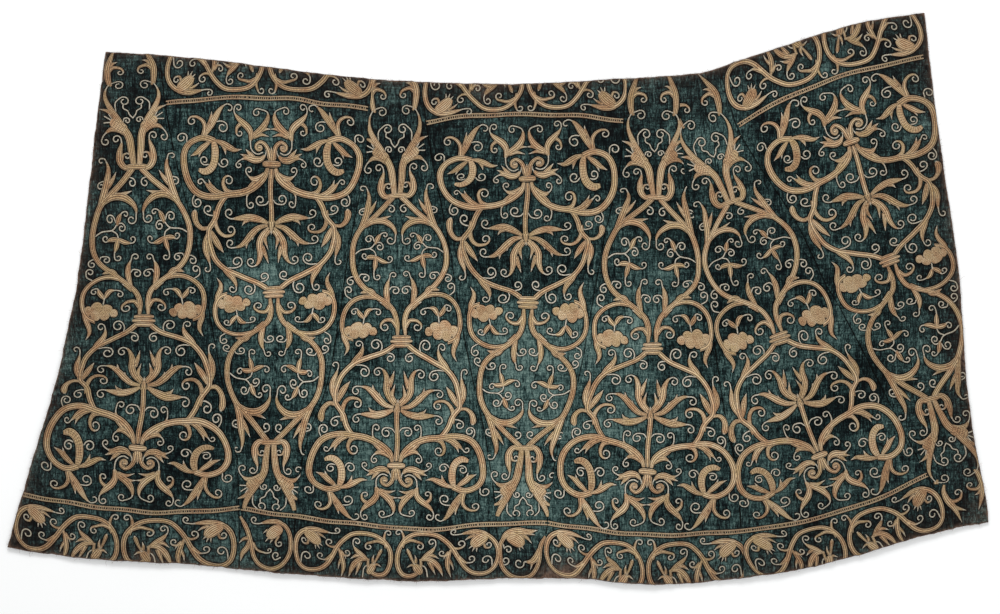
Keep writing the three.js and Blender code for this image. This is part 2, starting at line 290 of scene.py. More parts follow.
def velvet_material():
    """Worn silk velvet: deep blue-green pile, nearly black where it stands; beside the gold it is
    darkened, partly pressed pile and partly painted shade, and along the seams by painted shade.
    """
    material, tree = new_material("worn silk velvet")
    light, near, worn, raw = (
        add(tree, "Attribute", {"attribute_name": name}, {}, "Fac")
        for name in ("light", "near", "worn", "raw")
    )
    place = add(tree, "TexCoord", {}, {}, "Object")
    brushed, level, leaning = (
        add(tree, "Mapping", {}, {"Vector": place, "Rotation": (0, 0, turn), "Scale": stretch})
        for turn, stretch in ((0.28, (1.0, 0.13, 1.0)), (0, (0.12, 1.0, 1.0)), (0.6, (1.0, 0.3, 1.0)))
    )
    # Sizes in millimetres: crushed streaks along the warp and along the weft, crushed patches, the pile's
    # own tufts, slow changes of the dye, creases, darkened as painted shade, and flecks of worn ground.
    # The tufts are half a millimetre apart, too fine to show, so they are drawn 2.3 mm apart.
    streaks, bars, mottle, grain, drift, folded, ground = (
        add(tree, "TexNoise", {}, {
            "Vector": way, "Scale": 1 / (size * MM), "Detail": detail, "Roughness": rough,
            "Distortion": bent,
        }, "Fac")
        for way, size, detail, rough, bent in (
            (brushed, 2.632, 3, 0.7, 1.1),
            (level, 4.167, 3, 0.7, 0.5),
            (place, 31.25, 4, 0.68, 0.9),
            (place, 2.326, 1, 0.5, 0.0),
            (place, 200, 2, 0.55, 0.0),
            (leaning, 29.41, 2, 0.5, 1.4),
            (place, 7.143, 2, 0.55, 0.0),
        )
    )
    # The creases darken the pile's colour as painted shade.
    fold = add(tree, "Math", TIMES_PLUS, {0: folded, 1: 1, 2: -0.5})
    off_line = add(tree, "Math", {"operation": "ABSOLUTE"}, {0: fold})
    crease_shade = add(tree, "Math", KEPT_IN, {0: off_line, 1: -22, 2: 1})
    nap = -0.15
    # The painted light lifts the pile's colour a little where the panel is lit more brightly.
    for part, share in (
        (drift, 0.30), (streaks, 0.42), (bars, 0.20), (mottle, 0.19), (grain, 0.19), (crease_shade, -0.05),
        (light, 0.07),
    ):
        nap = add(tree, "Math", TIMES_PLUS, {0: part, 1: share, 2: nap})
    pile = add(tree, "ValToRGB", {"stops": [
        (0.42, "#04080a"), (0.465, "#0d1617"), (0.50, "#182626"), (0.535, "#283b3a"), (0.585, "#445a57"),
        (0.66, "#6f847d"),
    ]}, {0: nap})
    bare = add(tree, "ValToRGB", {"stops": [(0.3, "#35251f"), (0.7, "#7a6152")]}, {0: ground})
    patchy = add(tree, "Math", TIMES, {0: mottle, 1: -1.5})
    # Beside the gold and along the seams the pile is mixed towards near black: beside the gold this is
    # partly pressed pile and partly painted shade, along the seams it is painted shade.
    beside = add(tree, "Math", KEPT_IN, {0: near, 1: 3.2, 2: patchy})
    rubbed = add(tree, "Math", TIMES, {0: worn, 1: streaks})
    rubbed = add(tree, "Math", KEPT_IN, {0: rubbed, 1: 1.5, 2: 0})
    cut = add(tree, "Math", TIMES, {0: raw, 1: 0.85})
    for share, colour in ((beside, "#050403"), (rubbed, bare), (cut, bare)):
        pile = add(tree, "Mix", OVER, {0: share, 6: pile, 7: colour}, 2)
    surface = add(tree, "BsdfPrincipled", {}, {
        "Base Color": pile, "Roughness": 0.9, "Specular IOR Level": 0.06,
        "Sheen Weight": 0.04, "Sheen Roughness": 0.4, "Sheen Tint": "#7fa39c",
        "Normal": add(tree, "Bump", {}, {"Strength": 0.5, "Distance": 0.0012, "Height": nap}),
    })
    add(tree, "OutputMaterial", {}, {"Surface": surface})
    return material


velvet = velvet_material()


def spaced(count, near):
    """Even places from 0 to 1, with extra ones close to both ends."""
    return np.unique(np.round(np.r_[near, np.linspace(0, 1, count + 1), 1 - near], 6))


def part_of(line, start, end):
    """The stretch of a left-to-right edge between a start and an end point."""
    between = (line[:, 0] > start[0] + 0.5) & (line[:, 0] < end[0] - 0.5)
    return np.vstack([start, line[between], end])


def along(line, share):
    """Points at the given shares of a line's length."""
    s = lengths(line)
    at = share * s[-1]
    return np.stack([np.interp(at, s, line[:, 0]), np.interp(at, s, line[:, 1])], axis=1)


def trimmed(line):
    """A seam cut off where it meets the top and the bottom raw edge."""
    top = np.interp(line[:, 0], top_edge[:, 0], top_edge[:, 1]) - line[:, 1]
    low = line[:, 1] - np.interp(line[:, 0], bottom_edge[:, 0], bottom_edge[:, 1])
    keep = np.nonzero((top > 0) & (low > 0))[0]
    first, last = keep[0], keep[-1]
    cut_top = top[first - 1] / (top[first - 1] - top[first])
    cut_low = low[last + 1] / (low[last + 1] - low[last])
    start = line[first - 1] + (line[first] - line[first - 1]) * cut_top
    end = line[last + 1] + (line[last] - line[last + 1]) * cut_low
    return np.vstack([start, line[first:last + 1], end])


sides = [left_edge, *[trimmed(seam) for seam in seams], right_edge]


def mesh_object(name, verts, faces, materials, values, finish=None):
    """A mesh from arrays of places in millimetres and quads, with its point values."""
    used = np.unique(faces)
    renumber = np.zeros(len(verts), int)
    renumber[used] = np.arange(len(used))
    mesh = bpy.data.meshes.new(name)
    mesh.from_pydata((verts[used] * MM).tolist(), [], renumber[faces].tolist())
    for material in materials:
        mesh.materials.append(material)
    if finish is not None:
        mesh.polygons.foreach_set("material_index", np.ascontiguousarray(finish, dtype=np.int32))
    mesh.shade_smooth()
    for key, value in values.items():
        layer = mesh.attributes.new(key, "FLOAT", "POINT")
        layer.data.foreach_set("value", np.ascontiguousarray(value[used], dtype=np.float32))
    piece = bpy.data.objects.new(name, mesh)
    bpy.context.collection.objects.link(piece)
    return piece


def grid_faces(rows, columns):
    """Quads of a grid of points stored row by row."""
    i = np.arange(rows - 1)[:, None] * columns + np.arange(columns - 1)[None, :]
    return np.stack([i, i + columns, i + columns + 1, i + 1], axis=-1).reshape(-1, 4)


def patches(points, places):
    """The summed strength of soft round patches at each point."""
    out = np.zeros(len(points))
    for x, y, reach, strength in places:
        out += strength * np.exp(-((points[:, 0] - x) ** 2 + (points[:, 1] - y) ** 2) / reach ** 2)
    return out


def pile_values(points):
    """How much painted light, how worn and how close to a raw edge the pile is at each point."""
    deep = np.maximum(sample(depth_field, points), 0)
    edge_wear = sum(strength * np.exp(-deep / reach) for strength, reach in EDGE_WEAR)
    return {
        "light": patches(points, PAINTED_LIGHT_PLACES),
        "worn": np.clip(patches(points, WORN_PLACES) + edge_wear, 0, 1),
        "raw": np.exp(-(deep / RAW_REACH) ** 2),
    }


def gore_cloth(number):
    """One gore, woven as a grid between its two side lines and its cut ends."""
    left, right = sides[number], sides[number + 1]
    s = spaced(ACROSS, EDGE_ROWS / GORE_WIDE)
    t = spaced(DOWN, EDGE_ROWS / GORE_LONG)
    a, b = along(left, t), along(right, t)
    upper = along(part_of(top_edge, left[0], right[0]), s)
    lower = along(part_of(bottom_edge, left[-1], right[-1]), s)
    s2, t2 = s[None, :, None], t[:, None, None]
    ruled = a[:, None] * (1 - s2) + b[:, None] * s2
    ends = upper[None] * (1 - t2) + lower[None] * t2
    high, low = (row[0] * (1 - s2) + row[1] * s2 for row in ((left[0], right[0]), (left[-1], right[-1])))
    flat = (ruled + ends - high * (1 - t2) - low * t2).reshape(-1, 2)
    from_left = np.repeat(s[None], len(t), axis=0).reshape(-1) * GORE_WIDE
    seam_near = np.zeros(len(flat))
    for joined, gap in ((number > 0, from_left), (number < len(seams), GORE_WIDE - from_left)):
        if joined:
            seam_near = np.maximum(seam_near, np.exp(-(gap / SEAM_REACH) ** 2))
    height = np.maximum(PILE_TOP + lie(flat) - SEAM_DIP * seam_near, CLOTH + SEAM_FLOOR)
    # Along the seams the pile is darkened as painted shade, SEAM_SHADE at the seam line itself.
    values = pile_values(flat) | {"near": SEAM_SHADE * seam_near}
    faces = grid_faces(len(t), len(s))
    return mesh_object(f"velvet_gore_{number + 1}", np.c_[flat, height], faces, [velvet], values)


GORE_CUT = [
    # width, length, flat area
    (0.470, 1.040, 0.284),
    (0.436, 1.044, 0.256),
    (0.420, 1.010, 0.259),
    (0.396, 1.006, 0.242),
    (0.404, 1.024, 0.253),
    (0.532, 1.028, 0.254),
    (0.540, 1.044, 0.258),
]
for number in range(len(GORE_CUT)):
    gore = gore_cloth(number)
    thick = gore.modifiers.new("cloth thickness", "SOLIDIFY")
    thick.thickness = CLOTH * MM
    thick.offset = -1
    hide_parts(f"gore_{number + 1}_velvet")
    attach(gore, "root")


# Gold scrolls. Strips of gilt metal wound on yellow silk, laid side by side and couched down
# with red-brown stitches, with a paler cord along each edge. The tall motif was pricked from a
# half pattern, turned over for the other side and set out on each gore, upright or upside down.

CORD = 2.3
STRAND = 3.8
# How far beside the gold the dark strip of pressed pile and painted shade reaches.
HALO = 3.4
STEP = {
    "cord": 2.6, "stem": 4.6, "leaf": 3.6, "blade": 4.2, "horn": 3.2, "lobe": 3.4, "pod": 2.8, "bud": 2.8,
    "band": 2.4, "volute": 2.6, "egg": 2.6,
}
CURL_SHRINK = 0.6
CURL_TURNS = 0.78
HORN_REACH = 0.45

# Each stroke: form, width, points across from the middle line and up from the guard band,
# and the curl it ends in: middle across, middle up, radius, hand, turns.

HALF_MOTIF = [
    # volutes under the knot and the sprays that hang from them
    ("volute", 9.5, [(4, 116), (6, 103), (11, 92), (20, 85.5)], (24, 95.5, 8.5, 1, 1.15)),
    ("egg", 9, [(20, 95.5), (28, 95.5)]),
    ("cord", CORD, [(12, 99), (11, 106), (15, 113)]),
    ("leaf", 13, [(14, 111), (22, 118), (34, 119), (48, 115), (60, 118)], (63, 128.5, 6.5, 1, 1.2)),
    ("lobe", 11, [(36, 117), (44, 107), (51, 98)]),
    ("lobe", 8, [(46, 115), (54, 110), (61, 107)]),
    ("cord", CORD, [(18, 105), (26, 108.5), (35, 105.5), (41, 97), (42, 86), (41, 76)]),
    ("leaf", 12.5, [(41, 80), (34, 71), (22, 63), (12, 52), (6.5, 38), (9, 26)], (28, 27, 8, 1, 1.2)),
    ("lobe", 9.5, [(36, 74), (20, 71), (4, 75)]),
    ("lobe", 9.5, [(26, 66), (12, 61), (0, 61)]),
    ("leaf", 12.5, [(42, 82), (40, 66), (46, 54), (57, 44), (67, 34), (72, 25)],
                    (64, 18, 7.5, -1, 1.2)),
    ("horn", 8, [(57, 46), (67, 54)], (62.5, 65, 7, 1, 1.1)),
    # great side ring and its husk
    ("stem", 12, [(7, 132), (12, 148), (25, 163), (42, 174), (62, 181), (84, 184), (110, 188),
                  (132, 185), (150, 176), (163, 160), (171, 140), (174, 118), (172, 100), (163, 84),
                  (148, 75), (132, 73), (114, 80)]),
    ("pod", 14, [(114, 82), (110, 100), (112, 120), (120, 133), (132, 139), (144, 136)]),
    ("leaf", 11.5, [(112, 79), (98, 84), (84, 92), (72, 98), (60, 97)]),
    ("lobe", 9.5, [(96, 84), (92, 95), (90, 105)]),
    ("leaf", 11.5, [(120, 81), (134, 92), (146, 102), (159, 108)]),
    ("lobe", 9.5, [(130, 88), (138, 99), (143, 111)]),
    ("cord", CORD, [(108, 104), (107, 116)], (93, 121, 10, 1, 1.4)),
    ("cord", CORD, [(121, 124)], (132, 117, 9, -1, 1.4)),
    ("leaf", 13.5, [(134, 72), (121, 50), (110, 33), (99, 18), (88, 10)], (82, 19, 7.5, -1, 0.7)),
    ("lobe", 10.5, [(123, 50), (119, 34), (117, 22)]),
    ("horn", 9, [(134, 68), (132, 50), (137, 37), (147, 29)], (157, 36, 9, 1, 1.3)),
    ("cord", CORD, [(113, 43), (102, 42)], (97, 54, 11, -1, 1.4)),
    ("cord", CORD, [(164, 88), (166, 74)], (176, 68, 10.5, 1, 1.4)),
    # palmette
    ("leaf", 12.5, [(5, 246), (17, 260), (24, 276), (25, 296), (31, 312), (40, 318)],
                    (44, 309, 8, -1, 1.2)),
    ("lobe", 10.5, [(21, 280), (14, 298), (10, 312)]),
    ("lobe", 10.5, [(5, 250), (13, 264), (8, 286)]),
    ("leaf", 12.5, [(7, 242), (24, 246), (38, 257), (50, 269), (64, 278), (78, 280)],
                    (83, 271, 8.5, -1, 1.2)),
    ("lobe", 10.5, [(46, 262), (50, 272), (52, 283)]),
    ("lobe", 9.5, [(32, 250), (36, 260), (38, 269)]),
    ("leaf", 13.5, [(7, 238), (24, 230), (44, 225), (64, 226), (78, 227)], (82, 217, 8.5, -1, 1.2)),
    ("lobe", 9.5, [(42, 227), (52, 233), (56, 239)]),
    ("cord", CORD, [(3, 192), (10, 201)], (22, 193, 10, -1, 1.4)),
    # outer branch, bud and its leaves
    ("stem", 9.5, [(84, 184), (95, 194), (103, 208), (108, 224), (116, 236), (124, 246), (125, 262),
                   (121, 278), (112, 300), (92, 322), (62, 337), (32, 350), (13, 364)]),
    ("bud", 14, [(122, 243), (137, 245), (148, 236), (152, 222), (150, 211)]),
    ("leaf", 11, [(125, 248), (131, 268), (130, 284), (126, 296), (123, 310)], (130, 317, 7, -1, 0.9)),
    ("leaf", 11.5, [(121, 248), (112, 265), (97, 287)]),
    ("horn", 10, [(108, 214), (111, 233), (105, 249), (94, 257), (82, 257)], (80, 247, 9, 1, 1.3)),
    ("cord", CORD, [(110, 222), (120, 222)], (124, 211, 9, -1, 1.3)),
    ("leaf", 11.5, [(22, 152), (34, 164), (45, 176), (49.5, 189)], (41.5, 201, 7.5, 1, 1.2)),
    ("leaf", 11, [(12, 142), (22, 152), (34, 155), (45, 149)], (43, 139, 7, -1, 1.2)),
    ("horn", 10, [(76, 183), (90, 177), (96, 165)], (85, 158, 10.5, -1, 1.4)),
    ("leaf", 11.5, [(90, 185), (108, 180), (122, 170), (134, 158)], (141, 159, 6.5, 1, 1.1)),
    ("lobe", 9.5, [(112, 177), (121, 165), (125, 154)]),
    ("cord", CORD, [(148, 178), (154, 190)], (145, 197, 9.5, 1, 1.5)),
    ("cord", CORD, [(43, 345), (37, 356)], (49, 363, 11.5, -1, 1.5)),
    ("cord", CORD, [(36, 349), (22, 348)], (19, 338, 9, 1, 1.4)),
    ("leaf", 11, [(102, 312), (90, 328), (80, 340), (75, 352), (75, 362)], (83, 362, 8, -1, 1.2)),
    ("cord", CORD, [(94, 318), (78, 320)], (71, 308, 11, 1, 1.5)),
    # stems above the collar, pear ring and small scroll
    ("stem", 10, [(8, 382), (8, 410), (14, 432), (28, 448), (46, 462), (76, 488), (90, 512), (94, 540),
                    (90, 570), (76, 600), (56, 620), (28, 646), (6, 668)]),
    ("stem", 8.5, [(40, 458), (62, 464), (82, 462), (100, 452), (112, 436), (117, 416), (116, 394),
                   (108, 379), (94, 373)]),
    ("leaf", 10, [(116, 400), (113, 378), (107, 362), (106, 350), (112, 338)]),
    ("cord", CORD, [(77, 404), (74, 422)]),
    ("leaf", 9, [(74, 420), (66, 434), (54, 437)], (46, 429, 7, 1, 1.1)),
    ("leaf", 9, [(75, 418), (84, 430), (88, 440)], (94, 433, 6.5, -1, 1.1)),
    ("lobe", 10.5, [(20, 438), (32, 446), (42, 451)]),
    ("horn", 9, [(8, 400), (18, 413), (31, 413)], (33, 400, 9.5, -1, 1.3)),
    ("leaf", 11, [(22, 444), (27, 466), (26, 486), (21, 500)], (13, 505, 7, 1, 1.1)),
    ("leaf", 11, [(48, 468), (61, 476), (78, 472)]),
    ("cord", CORD, [(23, 472), (18, 480)], (10, 472, 8, 1, 1.3)),
    ("cord", CORD, [(84, 500), (93, 504)], (97, 494, 8, -1, 1.3)),
    ("cord", CORD, [(96, 458), (108, 466)], (102, 477, 8, 1, 1.3)),
    ("cord", CORD, [(82, 498), (78, 508)], (68, 501, 7.5, 1, 1.3)),
    ("leaf", 12.5, [(78, 600), (54, 616), (32, 617), (15, 607), (7, 594), (7, 582)],
                    (16, 577, 9, 1, 1.2)),
    ("lobe", 10.5, [(48, 616), (30, 622), (15, 627)]),
    ("leaf", 12.5, [(82, 588), (68, 620), (61, 646), (56, 670), (60, 688)], (68, 685, 6, -1, 0.8)),
    ("lobe", 10.5, [(62, 634), (50, 648), (42, 661)]),
    ("cord", CORD, [(90, 548), (76, 557), (56, 560), (46, 570)]),
    ("cord", CORD, [(58, 560), (48, 553), (45, 542)]),
    ("leaf", 9, [(46, 568), (40, 582), (34, 590)], (27, 587, 5.5, 1, 1.0)),
    ("cord", CORD, [(47, 572)], (58, 579, 8.5, -1, 1.4)),
    ("cord", CORD, [(45, 571), (36, 572)], (37, 563, 7.5, 1, 1.3)),
    ("leaf", 9, [(48, 544), (34, 535), (20, 532)], (18, 540, 6.5, -1, 1.0)),
    ("leaf", 9, [(43, 542), (60, 542), (68, 538)], (69, 545, 6, 1, 1.0)),
    ("leaf", 9, [(46, 544), (49, 526), (52, 514)], (45, 504, 7, -1, 1.1)),
    # tulip knot and lyre
    ("leaf", 12.5, [(4, 669), (22, 668), (31, 680), (31, 698), (27, 714), (27, 723)],
                    (36, 725, 8, -1, 1.2)),
    ("horn", 6, [(30, 676), (24, 692)], (17, 689, 6.5, 1, 1.1)),
    ("blade", 14, [(5, 668), (9, 702), (13, 729), (26, 754), (42, 784), (50, 806), (50, 824),
                   (43, 839)], (25, 836, 10, 1, 1.4)),
    ("pod", 21, [(16, 740), (32, 752), (44, 761)]),
    ("cord", CORD, [(44, 762), (56, 770)]),
    ("cord", CORD, [(42, 764), (48, 776)]),
    ("cord", CORD, [(45, 758), (58, 757)]),
    ("leaf", 11, [(12, 728), (30, 743), (46, 744), (58, 735)], (56, 722, 8, -1, 1.1)),
    ("lobe", 11, [(35, 768), (48, 780), (64, 786)]),
    ("cord", CORD, [(21, 754), (18, 764)], (12, 760, 6, 1, 1.2)),
    ("cord", CORD, [(32, 776), (32, 796)], (15, 800, 10, 1, 1.4)),
    ("cord", CORD, [(17, 793), (17, 785), (9, 780), (6, 772), (0, 765)]),
    ("blade", 12, [(41, 836), (45, 856), (45, 878), (37, 900), (26, 924)]),
    ("lobe", 9, [(42, 882), (33, 890), (25, 892)]),
    ("horn", 9, [(45, 870), (34, 880), (20, 877)], (21, 867, 7, 1, 1.1)),
    ("cord", CORD, [(30, 650), (20, 651)], (13, 641, 8, 1, 1.2)),
    ("cord", CORD, [(62, 636), (66, 646)], (72, 638, 7, -1, 1.3)),
]
ON_MIDDLE = [
    ("lobe", 15, [(0, 122), (0, 96)]),
    ("band", 12, [(-17, 126), (17, 126)]),
    ("stem", 9, [(0, 134), (0.5, 190), (0, 240)]),
    ("lobe", 12, [(0, 232), (0, 258)]),
    ("band", 8, [(-17, 364), (17, 364)]),
    ("band", 8, [(-21, 372), (21, 372)]),
    ("band", 8, [(-18, 380), (18, 380)]),
    ("band", 10, [(-20, 669), (20, 669)]),
]

# Where each tall motif's middle line runs, at the eight heights of STATIONS; its shift across,
# spread and rise at the left and right; and the height where its left and right half is cut.

STATIONS = np.array([0, 128, 242, 374, 546, 668, 766, 900], float)
MOTIFS = [
    ([(-724, -425), (-720, -296), (-707, -174), (-708, -43), (-713, 125), (-721, 262), (-729, 363),
      (-736, 481)], (0, 1.04, 1.04, 30, 6), (990, 990)),
    ([(-454, 401), (-453, 267), (-453, 145), (-447, 10), (-446, -149), (-453, -286), (-456, -383),
      (-460, -509)], (0, 1.01, 1.01, 21, 11), (808, 808)),
    ([(-202, -455), (-203, -333), (-201, -218), (-194, -83), (-198, 87), (-201, 204), (-205, 303),
      (-210, 439)], (0, 1.0, 1.0, 20, 5), (990, 990)),
    ([(54, 365), (59, 237), (55, 123), (59, -10), (56, -179), (52, -299), (50, -397), (48, -519)],
     (0, 1.0, 1.0, 13, 16), (808, 808)),
    ([(298, -474), (298, -344), (304, -232), (309, -99), (308, 73), (316, 201), (312, 295), (310, 431)],
     (0, 1.0, 1.0, 25, 10), (990, 990)),
    ([(680, -429), (641, -313), (602, -207), (562, -79), (504, 87), (465, 193), (432, 284), (384, 417)],
     (0, 0.98, 0.98, 27, 17), (990, 990)),
    ([(668, 437), (707, 311), (741, 201), (784, 75), (834, -73), (865, -200), (897, -291), (930, -407)],
     (0, 1.0, 1.0, 17, 28), (990, 846)),
]


def curl_line(root, curl):
    """The points of a closing curl, from where a line from the root first touches it."""
    cu, cv, radius, hand, turns = curl
    away = np.asarray(root, float) - (cu, cv)
    reach = max(np.linalg.norm(away), radius * 1.001)
    start = math.atan2(away[1], away[0]) + hand * math.acos(radius / reach)
    k = np.linspace(0, 1, max(6, int(turns * 10)))
    angle = start + hand * 2 * math.pi * turns * CURL_TURNS * k
    r = radius * (1 - CURL_SHRINK * k)
    return np.stack([cu + r * np.cos(angle), cv + r * np.sin(angle)], axis=1)


def taper(form, width, t, curls):
    """A stroke's width at each share of its blade."""
    if form == "cord":
        return np.full(len(t), width)
    if form == "horn":
        return CORD + (width - CORD) * (1 - t) ** 0.8
    if form == "volute":
        return width * (1 - 0.66 * t)
    if form in ("leaf", "blade"):
        start, peak = (0.36, 0.46) if form == "leaf" else (0.65, 0.4)
        swell = start + (1 - start) * np.sin(np.minimum(t / peak, 1) * math.pi / 2)
        fall = np.cos(np.clip((t - peak) / (1 - peak), 0, 1) * math.pi / 2) ** 0.85
        return np.maximum(width * np.where(t < peak, swell, fall), CORD if curls else 0.8)
    if form == "lobe":
        return width * (1 - t ** 1.5) + 0.6
    if form == "bud":
        round_end = np.sqrt(np.clip(1 - ((t - 0.8) / 0.2).clip(0) ** 2, 0.04, 1))
        return width * (0.38 + 0.62 * t ** 1.3) * round_end
    if form == "egg":
        return width * np.sqrt(np.clip(1 - np.abs((t - 0.5) / 0.53) ** 2.3, 0.04, 1))
    if form in ("pod", "band"):
        return width * np.sqrt(np.clip(1 - np.abs((t - 0.5) / 0.53) ** 4, 0.05, 1))
    return width * (0.5 + 0.5 * np.minimum(t / 0.07, 1))


# Cross-sections, from the open pile on one side to the open pile on the other: share of the half
# width, extra reach in millimetres, height, and 1 where the strip beside the gold ends.

# The strip beside the gold is velvet, darkened towards the gold: partly pressed pile, partly painted
# shade.
GOLD_SECTION = np.array([
    [-1.0, -HALO, 0.02, 1], [-1.0, 0, 0.35, 0], [-0.80, 0, 1.0, 0], [-0.58, 0, 0.72, 0],
    [0.0, 0, 1.25, 0],
    [0.58, 0, 0.72, 0], [0.80, 0, 1.0, 0], [1.0, 0, 0.35, 0], [1.0, HALO, 0.02, 1],
])
CORD_SECTION = np.array([
    [-1.0, -HALO * 0.8, 0.02, 1], [-1.0, 0, 0.3, 0],
    [0.0, 0, 1.15, 0],
    [1.0, 0, 0.3, 0], [1.0, HALO * 0.8, 0.02, 1],
])
FORM_LIFT = {
    "cord": 0.0, "lobe": 0.05, "leaf": 0.15, "horn": 0.2, "stem": 0.3, "blade": 0.4, "pod": 0.5,
    "bud": 0.35, "band": 0.65, "volute": 0.45, "egg": 0.6,
}
PALE_WIDTHS = (2.6, 4.0)
STOUT_WIDTH = 9.0
POD_LADDER = 0.45
CLOSED_END = 0.05
END_REACH = (0.5, 0.8)
TRAITS = ("across", "up", "height", "rim", "beside", "pale", "ladder", "tone", "run")


def strip(line, wide, section, lift, traits, run_from):
    """A raised strip of gold along a line, its points carrying what its finish needs to know."""
    ahead, left = headings(line)
    n, m = len(line), len(section)
    reach = section[None, :, 0] * wide[:, None] / 2 + section[None, :, 1]
    places = line[:, None] - left[:, None] * reach[..., None]
    stout = np.clip(wide / STOUT_WIDTH, 0.75, 1.35)[:, None]
    heights = section[None, :, 2] * stout + lift * (1 - section[None, :, 3])
    close = np.ones(n)
    close[[0, -1]] = CLOSED_END
    heights = heights * close[:, None]
    places[0] -= ahead[0] * END_REACH[0]
    places[-1] += ahead[-1] * END_REACH[1]
    strands = max(2, round(wide.max() / STRAND))
    rim = (1 - np.abs(section[None, :, 0])) * strands / 2
    pale = 1 - np.clip((wide - PALE_WIDTHS[0]) / (PALE_WIDTHS[1] - PALE_WIDTHS[0]), 0, 1)[:, None]
    cream, ladder, tone = traits
    spread = [np.broadcast_to(x, (n, m)) for x in (
        heights, rim, section[None, :, 3], np.maximum(pale, cream), ladder, tone,
        lengths(line)[:, None] + run_from,
    )]
    return np.stack([places[..., 0], places[..., 1], *spread], axis=-1)


def sweep(row, side, rng):
    """One stroke of the pattern as points and faces; side -1 turns it over."""
    form, width, points, *curl = row
    whole = list(points)
    if curl:
        whole += [tuple(p) for p in curl_line(points[-1], curl[0])]
    line = smooth(whole, STEP["cord"] if curl and form in ("horn", "leaf") else STEP[form])
    blade = lengths(smooth(points, 2.0))[-1]
    curled = lengths(line)[-1] - blade
    blade += {"horn": HORN_REACH, "volute": 1.0}.get(form, 0) * curled
    wide = taper(form, width, np.clip(lengths(line) / max(blade, 0.001), 0, 1), bool(curl))
    section = CORD_SECTION if form == "cord" else GOLD_SECTION
    traits = (float(form == "cord"), POD_LADDER * float(form == "pod"), rng.uniform(0, 1))
    data = strip(line, wide, section, FORM_LIFT[form], traits, rng.uniform(0, 20))
    if side < 0:
        data = data[:, ::-1].copy()
        data[..., TRAITS.index("across")] *= -1
    return data.reshape(-1, len(TRAITS)), grid_faces(*data.shape[:2])


def gather(strokes):
    """Many strokes as one set of points and faces."""
    points, faces, count = [], [], 0
    for data, quads in strokes:
        points.append(data)
        faces.append(quads + count)
        count += len(data)
    return np.vstack(points), np.vstack(faces)


def set_out(axis, fit, across, up):
    """Places on the panel of pattern points, on one gore's middle line."""
    shift, left, right, rise_left, rise_right = fit
    axis = np.asarray(axis, float)
    u = shift + across * np.where(across < 0, left, right)
    fade = np.where(up > 0, np.exp(-(up / 120) ** 2), 1)
    v = up + np.where(across < 0, rise_left, rise_right) * (across / 200) ** 2 * fade
    slope = np.gradient(axis, STATIONS, axis=0)

    def middle(h):
        i = np.clip(np.searchsorted(STATIONS, h, side="right") - 1, 0, len(STATIONS) - 2)
        span = (STATIONS[i + 1] - STATIONS[i])[:, None]
        t = (h[:, None] - STATIONS[i][:, None]) / span
        inner = (
            (2 * t ** 3 - 3 * t ** 2 + 1) * axis[i] + (t ** 3 - 2 * t ** 2 + t) * span * slope[i]
            + (3 * t ** 2 - 2 * t ** 3) * axis[i + 1] + (t ** 3 - t ** 2) * span * slope[i + 1]
        )
        before = axis[i] + slope[i] * span * t
        after = axis[i + 1] + slope[i + 1] * span * (t - 1)
        return np.where(t < 0, before, np.where(t > 1, after, inner))

    here = middle(v)
    ahead = middle(v + 1.0) - here
    ahead /= np.linalg.norm(ahead, axis=1)[:, None]
    return here + np.stack([ahead[:, 1], -ahead[:, 0]], axis=1) * u[:, None]


